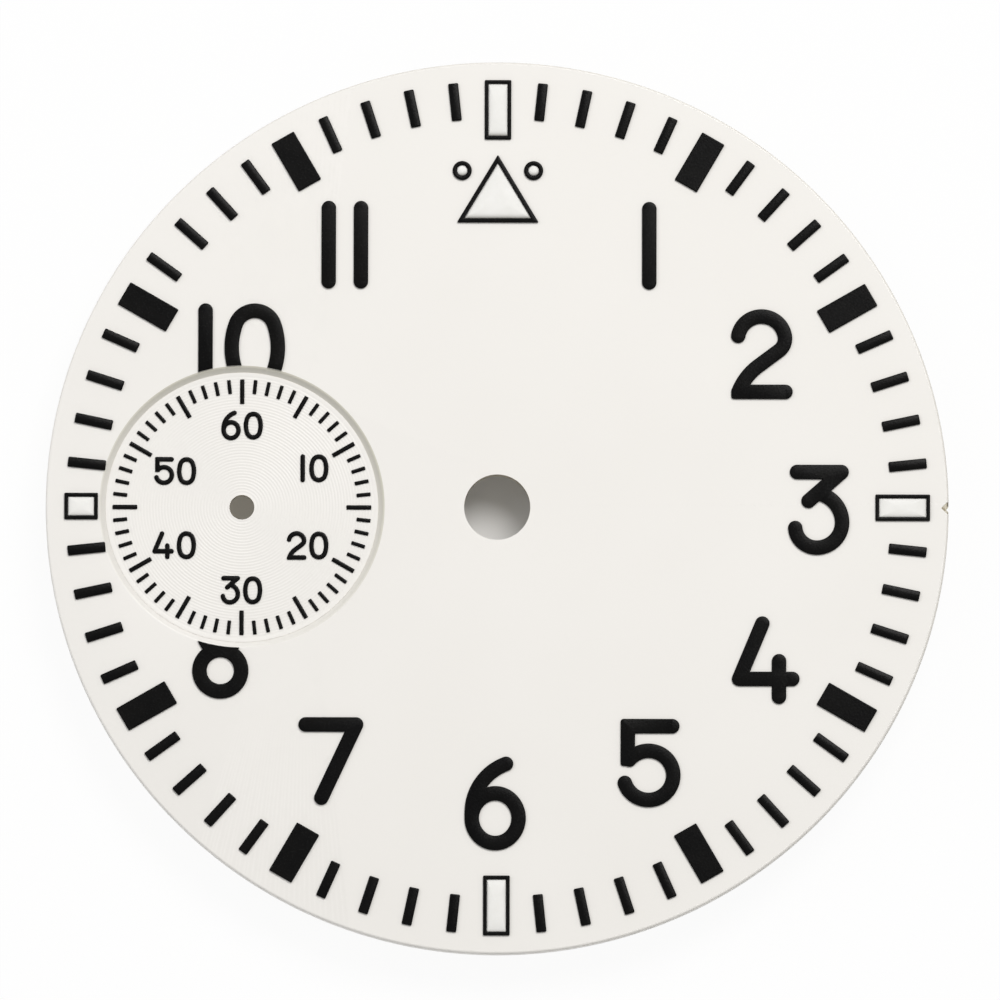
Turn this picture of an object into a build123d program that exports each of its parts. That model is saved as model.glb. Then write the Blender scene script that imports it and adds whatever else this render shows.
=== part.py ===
from build123d import *
from math import atan2, cos, degrees, hypot, radians, sin
import os

# Dial of a hand-wound wristwatch with its small seconds at nine o'clock, in millimetres.
# +Z is the face, +Y points at twelve o'clock and +X at three o'clock.
# The origin is the centre of the hand hole, on the underside of the plate.

# Brass plate and the lacquer on it
dial_diameter = 38.9
plate_thickness = 0.50
rim_easing = 0.08
centre_hole_diameter = 2.85
coat_thickness = 0.03
coat_skirt_gap = 0.10

# Notch in the rim at three o'clock, wider at the face than at the back
notch_depth = 0.33
notch_width = 0.68
notch_overrun = 0.30
notch_slope = 20.0

# Recess of the small seconds, a thinner disc let into the plate from the back.
# Its place and its mouth are shares of the dial's radius.
seconds_offset_share = 0.56555
recess_mouth_share = 0.31362
recess_wall_run = 0.225
recess_mouth_easing = 0.15
disc_thickness = 0.30
disc_lip = 0.40
disc_clearance = 0.01
seconds_hole_diameter = 1.07

# Two copper feet that hold the dial on the movement
foot_diameter = 0.95
foot_length = 2.20
foot_tip_chamfer = 0.10
foot_flange_diameter = 1.55
foot_flange_thickness = 0.08
foot_flange_easing = 0.20
foot_reach_share = 0.88946
foot_clock_angles = (51.0, 234.0)

# Raised black markers and the luminous fills between their lines
marker_height = 0.12
marker_easing = 0.05
seconds_marker_height = 0.06
seconds_marker_easing = 0.025
lume_height = 0.11
lume_easing = 0.08
lume_clearance = 0.005

# Minute track
minute_count = 60
hour_count = 12
track_margin = 0.85
minute_bar_length = 1.64
minute_bar_width = 0.435
bar_corner_radius = 0.05
hour_block_length = 2.40
hour_block_width = 1.11
block_hours = (1, 2, 4, 5, 7, 8, 10, 11)

# Luminous frames at the quarters, the one at three a little shorter
# and the one at nine cut short by the recess
frame_margin = 0.80
frame_width = 1.15
frame_line = 0.16
frame_corner_radius = 0.05
frame_length = 2.60
three_frame_length = 2.36
nine_frame_gap = 0.10
quarter_hours = (12, 3, 6, 9)

# Triangle and dots under twelve o'clock
triangle_gap = 0.67
triangle_base = 3.53
triangle_height = 2.96
triangle_line = 0.18
triangle_corner_radius = 0.03
dot_drop = 0.69
dot_spacing = 3.08
dot_diameter = 0.83
dot_line = 0.18

# Seconds track
second_count = 60
five_second_count = 12
seconds_track_margin = 0.30
second_bar_length = 0.61
second_bar_width = 0.16
five_second_bar_length = 1.07
five_second_bar_width = 0.19
second_bar_corner_radius = 0.03

# Figures, drawn with a round pen
numeral_height = 3.83
numeral_pen = 0.63
numeral_corner_radius = 0.13
numeral_trim_gap = 0.06
ten_gap = 0.50
eleven_gap = 0.76
seconds_numeral_height = 1.22
seconds_numeral_pen = 0.20
seconds_numeral_corner_radius = 0.04
seconds_numeral_gap = 0.12
seconds_ten_gap = 0.18

# Worked out from the sizes above
dial_radius = dial_diameter / 2
plate_radius = dial_radius - coat_thickness
coat_top = plate_thickness + coat_thickness
disc_coat_top = disc_thickness + coat_thickness
seconds_offset = seconds_offset_share * dial_radius
recess_mouth_radius = recess_mouth_share * dial_radius
recess_floor_radius = recess_mouth_radius - recess_wall_run
disc_radius = recess_floor_radius + disc_lip
foot_reach = foot_reach_share * dial_radius
track_radius = dial_radius - track_margin
frame_radius = dial_radius - frame_margin
nine_frame_length = frame_radius - seconds_offset - recess_mouth_radius - nine_frame_gap
triangle_apex_reach = frame_radius - frame_length - triangle_gap
dot_reach = triangle_apex_reach - dot_drop
seconds_track_radius = recess_floor_radius - seconds_track_margin
recess_centre = (-seconds_offset, 0)
face_plane = Plane.XY.offset(coat_top)
recess_plane = Plane.XY.offset(disc_coat_top)

# Places of the figures' centres, as shares of the dial's radius to three and to twelve o'clock
numeral_place_shares = {
    "1": (0.336, 0.587),
    "2": (0.585, 0.344),
    "3": (0.713, -0.005),
    "4": (0.595, -0.342),
    "5": (0.338, -0.573),
    "6": (-0.003, -0.665),
    "7": (-0.367, -0.570),
    "8": (-0.612, -0.331),
    "10": (-0.567, 0.357),
    "11": (-0.339, 0.588),
}

# The same for the small figures, as shares of the seconds track's radius
seconds_place_shares = {
    "60": (0.0, 0.639),
    "10": (0.560, 0.306),
    "20": (0.509, -0.298),
    "30": (0.0, -0.649),
    "40": (-0.522, -0.298),
    "50": (-0.515, 0.282),
}

# Width of each figure along the pen's centre line, as a share of its height there
digit_width_shares = {
    "0": 0.622,
    "1": 0.0,
    "2": 0.632,
    "3": 0.620,
    "4": 0.716,
    "5": 0.637,
    "6": 0.630,
    "7": 0.678,
    "8": 0.571,
}

# Pen strokes of each figure. A stroke has its start, its heading in degrees and its steps.
# A step is a length and a turn: a straight run where the turn is zero, else an arc of that radius.
digit_stroke_shares = {
    "1": [((0, 0.500), -90, [(1.000, 0)])],
    "2": [
        ((-0.313, 0.250), 80.3, [(0.318, -161.6), (0.207, -61.7), (0.350, 0), (0.792, 32.2)]),
        ((-0.310, -0.514), 0, [(0.633, 0)]),
    ],
    "3": [
        ((-0.298, 0.515), 0, [(0.600, 0)]),
        ((0.302, 0.515), -138.5, [(0.593, 0)]),
        ((-0.011, 0.224), -12, [(0.405, -78), (0.343, -90), (0.289, -85.5)]),
    ],
    "4": [
        ((-0.046, 0.497), -112.5, [(0.815, 0)]),
        ((-0.358, -0.256), 0, [(0.716, 0)]),
        ((0.179, -0.015), -90, [(0.483, 0)]),
    ],
    "5": [
        ((-0.291, 0.502), 0, [(0.597, 0)]),
        ((-0.291, 0.502), -90, [(0.443, 0)]),
        ((-0.269, 0.048), 50, [(0.334, -302)]),
    ],
    "6": [((-0.315, -0.194), 90, [(0.079, 0), (0.704, -69.6)])],
    "7": [
        ((-0.339, 0.498), 0, [(0.678, 0)]),
        ((0.339, 0.498), -115, [(1.098, 0)]),
    ],
}

# Closed bowls: centre height, half width, half height and end radius
digit_bowl_shares = {
    "0": [(0, 0.311, 0.500, 0.272)],
    "6": [(-0.194, 0.315, 0.338, 0.296)],
    "8": [(-0.226, 0.281, 0.282, 0.280), (0.280, 0.222, 0.223, 0.221)],
}

# Squared corners: where the pen turns, and the side on which the corner is filled
digit_corner_shares = {
    "2": [((-0.310, -0.514), (-1, -1))],
    "5": [((-0.291, 0.502), (-1, 1)), ((-0.291, 0.059), (-1, -1))],
}


def hour_place(clock_angle, reach):
    # A point at a clock angle, in degrees clockwise from twelve
    return (reach * sin(radians(clock_angle)), reach * cos(radians(clock_angle)))


def hour_angle(hour):
    return hour * 360 / hour_count


def pen_path(start, heading, steps, scale):
    # One stroke's centre line, laid step by step from its start
    point = (start[0] * scale, start[1] * scale)
    with BuildLine(mode=Mode.PRIVATE) as pen:
        for size, turn in steps:
            if turn == 0:
                run = PolarLine(point, size * scale, heading)
            else:
                tangent = (cos(radians(heading)), sin(radians(heading)))
                run = JernArc(point, tangent, size * scale, turn)
            point = run @ 1
            heading = heading + turn
    return pen.wire()


def bowl_strokes(centre_height, half_width, half_height, end_radius):
    # An upright oval of four arcs, as a right and a left stroke from its top
    straight = half_height - end_radius
    side_radius = (half_width**2 + straight**2 - end_radius**2) / (half_width - end_radius) / 2
    end_turn = 90 - degrees(atan2(straight, side_radius - half_width))
    side_turn = 180 - 2 * end_turn
    top = (0, centre_height + half_height)
    turns = [(end_radius, end_turn), (side_radius, side_turn), (end_radius, end_turn)]
    right = (top, 0, [(radius, -turn) for radius, turn in turns])
    left = (top, 180, turns)
    return [right, left]


def digit_strokes(digit):
    strokes = list(digit_stroke_shares.get(digit, []))
    for bowl in digit_bowl_shares.get(digit, []):
        strokes += bowl_strokes(*bowl)
    return strokes


def draw_digit(sketch, digit, centre, scale, pen_width, corner_radius):
    with Locations(centre):
        for start, heading, steps in digit_strokes(digit):
            SlotArc(pen_path(start, heading, steps, scale), pen_width)
    tips = []
    for (x, y), (side_x, side_y) in digit_corner_shares.get(digit, []):
        turn_x = centre[0] + x * scale
        turn_y = centre[1] + y * scale
        with Locations((turn_x + side_x * pen_width / 4, turn_y + side_y * pen_width / 4)):
            Rectangle(pen_width / 2, pen_width / 2)
        tips.append((turn_x + side_x * pen_width / 2, turn_y + side_y * pen_width / 2))
    for tip in tips:
        fillet(sketch.vertices().sort_by_distance(tip)[0], corner_radius)


def draw_numeral(sketch, text, centre, height, pen_width, gap, corner_radius):
    # The figures stand side by side, centred on their place
    scale = height - pen_width
    widths = [digit_width_shares[digit] * scale + pen_width for digit in text]
    left = centre[0] - (sum(widths) + gap * (len(text) - 1)) / 2
    for digit, width in zip(text, widths):
        draw_digit(sketch, digit, (left + width / 2, centre[1]), scale, pen_width, corner_radius)
        left = left + width + gap


def radial_plane(clock_angle, centre, height):
    # A plane on the dial whose +Y points outwards at a clock angle
    turn = radians(clock_angle)
    return Plane(origin=(*centre, height), x_dir=(cos(turn), -sin(turn), 0), z_dir=(0, 0, 1))


def draw_bar(width, length, reach, corner_radius, mode=Mode.ADD):
    # An upright bar whose outer end lies at the reach
    with Locations((0, reach - length / 2)):
        RectangleRounded(width, length, corner_radius, mode=mode)


def draw_notch(allowance):
    # The notch's V at the face, with each flank moved outwards by the allowance
    flare = notch_width / 2 / notch_depth
    apex = dial_radius - notch_depth - allowance * hypot(1, flare) / flare
    mouth = dial_radius + notch_overrun
    half_mouth = (mouth - apex) * flare
    Polygon((apex, 0), (mouth, half_mouth), (mouth, -half_mouth), align=None)


def cut_cone(floor_radius, mouth_radius, mouth_height):
    # The recess, opening as a cone from the disc up to its mouth
    with Locations((*recess_centre, disc_thickness)):
        Cone(
            floor_radius,
            mouth_radius,
            mouth_height - disc_thickness,
            align=(Align.CENTER, Align.CENTER, Align.MIN),
            mode=Mode.SUBTRACT,
        )


def draw_triangle(inset, mode=Mode.ADD):
    # The triangle with each side moved inwards by the inset
    slope = triangle_base / 2 / triangle_height
    apex = triangle_apex_reach - inset * hypot(1, slope) / slope
    base = triangle_apex_reach - triangle_height + inset
    half_base = (apex - base) * slope
    Polygon((0, apex), (half_base, base), (-half_base, base), align=None, mode=mode)


def ease_top(builder, radius):
    # Round the upper edges of raised pieces
    fillet(builder.faces().group_by(Axis.Z)[-1].edges(), radius)


def keep(builder, name):
    builder.part.label = name
    export_step(builder.part, f"parts/{name}.step")


os.makedirs("parts", exist_ok=True)

# Plate: a round brass blank with an eased rim, the hand hole, the rim notch,
# and the small seconds' aperture with a seat behind it
with BuildPart() as dial_plate:
    with BuildSketch():
        Circle(plate_radius)
    extrude(amount=plate_thickness)
    fillet(dial_plate.edges().group_by(Axis.Z)[-1], rim_easing)
    Hole(centre_hole_diameter / 2)
    with BuildSketch():
        with Locations(recess_centre):
            Circle(disc_radius + disc_clearance)
    extrude(amount=disc_thickness, mode=Mode.SUBTRACT)
    cut_cone(
        recess_floor_radius + coat_thickness,
        recess_mouth_radius + coat_thickness,
        plate_thickness,
    )
    with BuildSketch(face_plane):
        draw_notch(coat_thickness)
    extrude(amount=-coat_top, taper=notch_slope, mode=Mode.SUBTRACT)
keep(dial_plate, "dial_plate")

# Disc of the small seconds, soldered into its seat from the back
with BuildPart() as small_seconds_disc:
    with BuildSketch():
        with Locations(recess_centre):
            Circle(disc_radius)
            Circle(seconds_hole_diameter / 2, mode=Mode.SUBTRACT)
    extrude(amount=disc_thickness)
keep(small_seconds_disc, "small_seconds_disc")

# Lacquer on the plate: over the face, down the bevel of the aperture and round the rim
with BuildPart() as plate_lacquer:
    with BuildSketch(Plane.XY.offset(coat_skirt_gap)):
        Circle(dial_radius)
    extrude(amount=coat_top - coat_skirt_gap)
    fillet(plate_lacquer.edges().group_by(Axis.Z)[-1], rim_easing + coat_thickness)
    Hole(centre_hole_diameter / 2)
    with BuildSketch(Plane.XY.offset(coat_skirt_gap)):
        with Locations(recess_centre):
            Circle(disc_radius + disc_clearance)
    extrude(amount=disc_thickness - coat_skirt_gap, mode=Mode.SUBTRACT)
    cut_cone(recess_floor_radius, recess_mouth_radius, coat_top)
    mouth_edge = plate_lacquer.edges().filter_by(GeomType.CIRCLE).group_by(Axis.Z)[-1]
    fillet(mouth_edge.sort_by_distance((*recess_centre, coat_top))[0], recess_mouth_easing)
    with BuildSketch(face_plane):
        draw_notch(0)
    extrude(amount=-coat_top, taper=notch_slope, mode=Mode.SUBTRACT)
    add(dial_plate.part, mode=Mode.SUBTRACT)
keep(plate_lacquer, "plate_lacquer")

# Lacquer on the disc, inside the aperture
with BuildPart() as disc_lacquer:
    with BuildSketch(Plane.XY.offset(disc_thickness)):
        with Locations(recess_centre):
            Circle(recess_floor_radius)
            Circle(seconds_hole_diameter / 2, mode=Mode.SUBTRACT)
    extrude(amount=coat_thickness)
keep(disc_lacquer, "disc_lacquer")

# Dial feet: a turned copper pin on a welded flange, under the plate
for number, clock_angle in enumerate(foot_clock_angles, 1):
    foot_plane = Plane((*hour_place(clock_angle, foot_reach), 0))
    with BuildPart() as dial_foot:
        with BuildSketch(foot_plane):
            Circle(foot_diameter / 2)
        extrude(amount=-foot_length)
        chamfer(dial_foot.edges().group_by(Axis.Z)[0], foot_tip_chamfer)
        with BuildSketch(foot_plane):
            Circle(foot_flange_diameter / 2)
        extrude(amount=-foot_flange_thickness)
        root_edges = dial_foot.edges().filter_by_position(
            Axis.Z, -foot_flange_thickness, -foot_flange_thickness
        )
        fillet(root_edges.sort_by(SortBy.RADIUS)[0], foot_flange_easing)
    keep(dial_foot, f"dial_foot_{number}")

# Minute bars, four between each two hours
minutes_per_hour = minute_count // hour_count
for hour in range(hour_count):
    with BuildPart() as minute_bars:
        for minute in range(1, minutes_per_hour):
            clock_angle = hour_angle(hour + minute / minutes_per_hour)
            with BuildSketch(radial_plane(clock_angle, (0, 0), coat_top)):
                draw_bar(minute_bar_width, minute_bar_length, track_radius, bar_corner_radius)
        extrude(amount=marker_height)
        ease_top(minute_bars, marker_easing)
    keep(minute_bars, f"minute_bars_after_{hour or hour_count}")

# Hour blocks
for hour in block_hours:
    with BuildPart() as hour_block:
        with BuildSketch(radial_plane(hour_angle(hour), (0, 0), coat_top)):
            draw_bar(hour_block_width, hour_block_length, track_radius, bar_corner_radius)
        extrude(amount=marker_height)
        ease_top(hour_block, marker_easing)
    keep(hour_block, f"hour_block_{hour}")

# Frames at the quarters, each with its luminous fill
for hour in quarter_hours:
    length = {3: three_frame_length, 9: nine_frame_length}.get(hour, frame_length)
    inner_width = frame_width - 2 * frame_line
    inner_length = length - 2 * frame_line
    inner_reach = frame_radius - frame_line
    inner_corner = frame_corner_radius / 2
    with BuildPart() as hour_frame:
        with BuildSketch(radial_plane(hour_angle(hour), (0, 0), coat_top)):
            draw_bar(frame_width, length, frame_radius, frame_corner_radius)
            draw_bar(inner_width, inner_length, inner_reach, inner_corner, Mode.SUBTRACT)
        extrude(amount=marker_height)
        ease_top(hour_frame, marker_easing)
    keep(hour_frame, f"hour_frame_{hour}")
    with BuildPart() as frame_lume:
        with BuildSketch(radial_plane(hour_angle(hour), (0, 0), coat_top)):
            draw_bar(
                inner_width - 2 * lume_clearance,
                inner_length - 2 * lume_clearance,
                inner_reach - lume_clearance,
                inner_corner,
            )
        extrude(amount=lume_height)
        ease_top(frame_lume, lume_easing)
    keep(frame_lume, f"frame_lume_{hour}")

# Triangle under twelve and its luminous fill
with BuildPart() as triangle_frame:
    with BuildSketch(face_plane) as outline:
        draw_triangle(0)
        fillet(outline.vertices(), triangle_corner_radius)
        draw_triangle(triangle_line, Mode.SUBTRACT)
    extrude(amount=marker_height)
    ease_top(triangle_frame, marker_easing)
keep(triangle_frame, "triangle_frame")

with BuildPart() as triangle_lume:
    with BuildSketch(face_plane):
        draw_triangle(triangle_line + lume_clearance)
    extrude(amount=lume_height)
    ease_top(triangle_lume, lume_easing)
keep(triangle_lume, "triangle_lume")

# Dots beside the triangle: a ring and its luminous fill
for side, name in ((-1, "left"), (1, "right")):
    dot_centre = (side * dot_spacing / 2, dot_reach)
    with BuildPart() as dot_ring:
        with BuildSketch(face_plane):
            with Locations(dot_centre):
                Circle(dot_diameter / 2)
                Circle(dot_diameter / 2 - dot_line, mode=Mode.SUBTRACT)
        extrude(amount=marker_height)
        ease_top(dot_ring, marker_easing)
    keep(dot_ring, f"dot_ring_{name}")
    with BuildPart() as dot_lume:
        with BuildSketch(face_plane):
            with Locations(dot_centre):
                Circle(dot_diameter / 2 - dot_line - lume_clearance)
        extrude(amount=lume_height)
        ease_top(dot_lume, lume_easing)
    keep(dot_lume, f"dot_lume_{name}")

# Hour figures, cut back where they would reach into the recess
numeral_gaps = {"10": ten_gap, "11": eleven_gap}
for text, (share_x, share_y) in numeral_place_shares.items():
    centre = (share_x * dial_radius, share_y * dial_radius)
    gap = numeral_gaps.get(text, 0)
    with BuildPart() as numeral:
        with BuildSketch(face_plane) as figure:
            draw_numeral(figure, text, centre, numeral_height, numeral_pen, gap, numeral_corner_radius)
        extrude(amount=marker_height)
        ease_top(numeral, marker_easing)
        with BuildSketch(face_plane):
            with Locations(recess_centre):
                Circle(recess_mouth_radius + numeral_trim_gap)
        extrude(amount=marker_height, mode=Mode.SUBTRACT)
    keep(numeral, f"numeral_{text}")

# Seconds track on the disc: a long bar every five seconds, short ones between
seconds_per_bar = second_count // five_second_count
with BuildPart() as five_second_bars:
    for second in range(0, second_count, seconds_per_bar):
        with BuildSketch(radial_plane(second * 360 / second_count, recess_centre, disc_coat_top)):
            draw_bar(
                five_second_bar_width,
                five_second_bar_length,
                seconds_track_radius,
                second_bar_corner_radius,
            )
    extrude(amount=seconds_marker_height)
    ease_top(five_second_bars, seconds_marker_easing)
keep(five_second_bars, "five_second_bars")

with BuildPart() as second_bars:
    for second in range(second_count):
        if second % seconds_per_bar:
            with BuildSketch(radial_plane(second * 360 / second_count, recess_centre, disc_coat_top)):
                draw_bar(
                    second_bar_width,
                    second_bar_length,
                    seconds_track_radius,
                    second_bar_corner_radius,
                )
    extrude(amount=seconds_marker_height)
    ease_top(second_bars, seconds_marker_easing)
keep(second_bars, "second_bars")

# Small figures on the disc
for text, (share_x, share_y) in seconds_place_shares.items():
    centre = (
        recess_centre[0] + share_x * seconds_track_radius,
        recess_centre[1] + share_y * seconds_track_radius,
    )
    gap = seconds_ten_gap if text == "10" else seconds_numeral_gap
    with BuildPart() as seconds_numeral:
        with BuildSketch(recess_plane) as figure:
            draw_numeral(
                figure,
                text,
                centre,
                seconds_numeral_height,
                seconds_numeral_pen,
                gap,
                seconds_numeral_corner_radius,
            )
        extrude(amount=seconds_marker_height)
        ease_top(seconds_numeral, seconds_marker_easing)
    keep(seconds_numeral, f"seconds_numeral_{text}")
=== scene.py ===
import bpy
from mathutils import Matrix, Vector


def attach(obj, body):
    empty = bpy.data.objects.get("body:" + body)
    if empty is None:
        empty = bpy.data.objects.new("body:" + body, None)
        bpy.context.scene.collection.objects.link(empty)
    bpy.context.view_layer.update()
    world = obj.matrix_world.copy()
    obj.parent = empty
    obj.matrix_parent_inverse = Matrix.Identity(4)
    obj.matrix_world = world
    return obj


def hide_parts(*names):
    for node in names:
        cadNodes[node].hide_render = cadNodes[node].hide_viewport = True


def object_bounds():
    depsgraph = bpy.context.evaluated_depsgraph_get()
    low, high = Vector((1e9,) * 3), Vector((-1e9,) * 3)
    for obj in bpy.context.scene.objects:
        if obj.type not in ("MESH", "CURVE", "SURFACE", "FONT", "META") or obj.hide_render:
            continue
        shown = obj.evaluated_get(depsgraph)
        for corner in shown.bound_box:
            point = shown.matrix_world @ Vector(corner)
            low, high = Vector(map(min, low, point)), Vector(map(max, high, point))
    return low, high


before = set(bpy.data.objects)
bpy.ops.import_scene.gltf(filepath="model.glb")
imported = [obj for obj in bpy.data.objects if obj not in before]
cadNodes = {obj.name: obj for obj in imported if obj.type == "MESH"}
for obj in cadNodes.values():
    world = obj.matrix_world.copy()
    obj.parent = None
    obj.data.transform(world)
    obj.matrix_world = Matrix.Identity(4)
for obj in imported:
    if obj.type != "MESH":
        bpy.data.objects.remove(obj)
cadBox = [list(corner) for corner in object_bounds()]

import math

import bmesh
import bpy
from mathutils import Vector
from mathutils.geometry import delaunay_2d_cdt

scene = bpy.context.scene
scene.view_settings.view_transform = "Standard"
mm = 0.001  # sizes below are in millimetres, meshes in metres
mergeGap = 2e-7  # corners of a mesh that lie closer than this are one, in metres
levelGap = 1e-7  # corners whose heights differ by less lie at one level, in metres
outlineGap = 1e-7  # corners of a flat outline that lie closer than this are one, in millimetres
print("frame loaded:", len(cadNodes), "nodes")


# where the camera stands and what it takes in
view = {
    "tilt": 81.0,
    "roll": 0.12,
    "distance": 1500.0,
    "aim": (0.12, 0.31, 0.53),
    "width": 43.08,
    "sensor": 36.0,
    "nearest": 0.01,
}


def placeCamera():
    tilt = math.radians(view["tilt"])
    aim = Vector(view["aim"]) * mm
    away = Vector((0, -math.cos(tilt), math.sin(tilt)))
    camera = bpy.data.objects.new("camera", bpy.data.cameras.new("camera"))
    scene.collection.objects.link(camera)
    camera.location = aim + away * view["distance"] * mm
    camera.rotation_euler = away.to_track_quat("Z", "Y").to_euler()
    camera.rotation_euler.rotate_axis("Z", math.radians(view["roll"]))
    camera.data.sensor_width = view["sensor"]
    camera.data.lens = view["sensor"] * view["distance"] / view["width"]
    camera.data.clip_start = view["nearest"]
    scene.camera = camera


lamps = {
    "window": {"place": (110, 208, 403), "size": 247.0, "power": 1.318, "colour": (1.0, 0.985, 0.965)},
    "fill": {"place": (-220, 120, 260), "size": 260.0, "power": 0.22, "colour": (0.95, 0.97, 1.0)},
}
surround = {"strength": 0.37, "colour": (1.0, 0.995, 0.985)}


def placeLamps():
    for name, facts in lamps.items():
        lamp = bpy.data.objects.new(name, bpy.data.lights.new(name, "AREA"))
        scene.collection.objects.link(lamp)
        lamp.location = Vector(facts["place"]) * mm
        lamp.rotation_euler = lamp.location.to_track_quat("Z", "Y").to_euler()
        lamp.data.shape = "DISK"
        lamp.data.size = facts["size"] * mm
        lamp.data.energy = facts["power"]
        lamp.data.color = facts["colour"]
    world = bpy.data.worlds.new("softRoom")
    scene.world = world
    world.use_nodes = True
    sky = world.node_tree.nodes["Background"]
    sky.inputs["Color"].default_value = (*surround["colour"], 1)
    sky.inputs["Strength"].default_value = surround["strength"]


placeCamera()
placeLamps()


def addNode(tree, kind, **settings):
    node = tree.nodes.new(kind)
    for key, value in settings.items():
        setattr(node, key, value)
    return node


def feed(tree, node, values):
    # each named or numbered input takes a plain value or the output of another node
    for label, value in values.items():
        if isinstance(value, bpy.types.NodeSocket):
            tree.links.new(value, node.inputs[label])
        else:
            node.inputs[label].default_value = value
    return node


def newTree(name, kind, inputs, outputs):
    # a node group with named inputs, which may have a starting value, and named outputs
    tree = bpy.data.node_groups.new(name, kind)
    for label, socketKind, *start in inputs:
        socket = tree.interface.new_socket(label, in_out="INPUT", socket_type="NodeSocket" + socketKind)
        if start:
            socket.default_value = start[0]
    for label, socketKind in outputs:
        tree.interface.new_socket(label, in_out="OUTPUT", socket_type="NodeSocket" + socketKind)
    return tree, addNode(tree, "NodeGroupInput"), addNode(tree, "NodeGroupOutput")


def mathNode(tree, operation, *values):
    node = addNode(tree, "ShaderNodeMath", operation=operation)
    return feed(tree, node, dict(enumerate(values))).outputs[0]


def vectorNode(tree, operation, *values, output="Vector"):
    node = addNode(tree, "ShaderNodeVectorMath", operation=operation)
    return feed(tree, node, dict(enumerate(values))).outputs[output]


def rangeNode(tree, value, source, target=(0.0, 1.0), **settings):
    # what lies between the source's two values is spread between the target's
    node = addNode(tree, "ShaderNodeMapRange", **settings)
    labels = ("Value", "From Min", "From Max", "To Min", "To Max")
    return feed(tree, node, dict(zip(labels, (value, *source, *target)))).outputs["Result"]


def noiseNode(tree, vector, scale, detail=4.0, roughness=0.55):
    node = addNode(tree, "ShaderNodeTexNoise")
    values = {"Vector": vector, "Scale": scale, "Detail": detail, "Roughness": roughness}
    return feed(tree, node, values).outputs["Fac"]


def makeGrainGroup():
    # fine grain and a slow drift of tone
    tree, ends, out = newTree(
        "grainAndDrift",
        "ShaderNodeTree",
        [("Grain Scale", "Float", 9000.0), ("Drift Scale", "Float", 140.0)],
        [("Grain", "Float"), ("Drift", "Float")],
    )
    place = addNode(tree, "ShaderNodeTexCoord").outputs["Object"]
    grain = noiseNode(tree, place, ends.outputs["Grain Scale"])
    drift = noiseNode(tree, place, ends.outputs["Drift Scale"], detail=2.0)
    feed(tree, out, {"Grain": grain, "Drift": drift})
    return tree


def flatOffset(tree, ends):
    # from the group's centre to a point, seen from above
    place = addNode(tree, "ShaderNodeTexCoord").outputs["Object"]
    offset = vectorNode(tree, "SUBTRACT", place, ends.outputs["Centre"])
    return vectorNode(tree, "MULTIPLY", offset, (1, 1, 0))


# marks of the lathe and of handling on the metals
turning = {
    "ringDetail": 3.0,
    "scratchTurn": 0.6,
    "scratchStretch": (3000, 90, 400),
    "scratchDetail": 3.0,
    "scratchAbove": 0.66,
}


def makeTurningGroup():
    # rings left by a lathe round a centre, with uneven depth, and long thin scratches
    tree, ends, out = newTree(
        "turningMarks",
        "ShaderNodeTree",
        [("Centre", "Vector", (0, 0, 0)), ("Ring Scale", "Float", 16000.0)],
        [("Rings", "Float"), ("Scratches", "Float")],
    )
    reach = vectorNode(tree, "LENGTH", flatOffset(tree, ends), output="Value")
    turns = mathNode(tree, "MULTIPLY", reach, ends.outputs["Ring Scale"])
    rings = addNode(tree, "ShaderNodeTexNoise", noise_dimensions="1D")
    feed(tree, rings, {"W": turns, "Scale": 1.0, "Detail": turning["ringDetail"]})
    stretch = addNode(tree, "ShaderNodeMapping", vector_type="POINT")
    stretched = {
        "Vector": addNode(tree, "ShaderNodeTexCoord").outputs["Object"],
        "Rotation": (0, 0, turning["scratchTurn"]),
        "Scale": turning["scratchStretch"],
    }
    feed(tree, stretch, stretched)
    noise = noiseNode(tree, stretch.outputs[0], 1.0, detail=turning["scratchDetail"])
    scratches = mathNode(tree, "GREATER_THAN", noise, turning["scratchAbove"])
    feed(tree, out, {"Rings": rings.outputs["Fac"], "Scratches": scratches})
    return tree


wallTurn = (-1.0, 0.5)  # cosine of the angle to the darkest side: the first is plain, the last darkest


def makePaintedWallShadeGroup():
    # the share of painted shade on a round wall: none beside it, most at its last radius
    # and towards the side turned away from the light
    tree, ends, out = newTree(
        "wallShare",
        "ShaderNodeTree",
        [
            ("Centre", "Vector", (0, 0, 0)),
            ("First Radius", "Float", 0.005),
            ("Last Radius", "Float", 0.006),
            ("First Share", "Float", 0.5),
            ("Darkest Side", "Vector", (0, 1, 0)),
        ],
        [("Share", "Float")],
    )
    first, last = ends.outputs["First Radius"], ends.outputs["Last Radius"]
    offset = flatOffset(tree, ends)
    reach = vectorNode(tree, "LENGTH", offset, output="Value")
    rise = rangeNode(tree, reach, (first, last), (ends.outputs["First Share"], 1.0))
    above = mathNode(tree, "GREATER_THAN", reach, first)
    within = mathNode(tree, "LESS_THAN", reach, last)
    outwards = vectorNode(tree, "NORMALIZE", offset)
    side = vectorNode(tree, "DOT_PRODUCT", outwards, ends.outputs["Darkest Side"], output="Value")
    share = mathNode(tree, "MULTIPLY", mathNode(tree, "MULTIPLY", above, within), rise)
    feed(tree, out, {"Share": mathNode(tree, "MULTIPLY", share, rangeNode(tree, side, wallTurn))})
    return tree


grainGroup = makeGrainGroup()
turningGroup = makeTurningGroup()
paintedWallShadeGroup = makePaintedWallShadeGroup()


def mixColours(tree, share, first, second, blend="MIX"):
    # each colour is a plain one or the output of another node
    mix = addNode(tree, "ShaderNodeMix", data_type="RGBA", blend_type=blend)
    colours = [(*colour, 1) if isinstance(colour, tuple) else colour for colour in (first, second)]
    return feed(tree, mix, {"Factor": share, "A": colours[0], "B": colours[1]}).outputs["Result"]


def mixShaders(tree, share, first, second):
    mix = addNode(tree, "ShaderNodeMixShader")
    return feed(tree, mix, {"Fac": share, 1: first, 2: second}).outputs[0]


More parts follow.
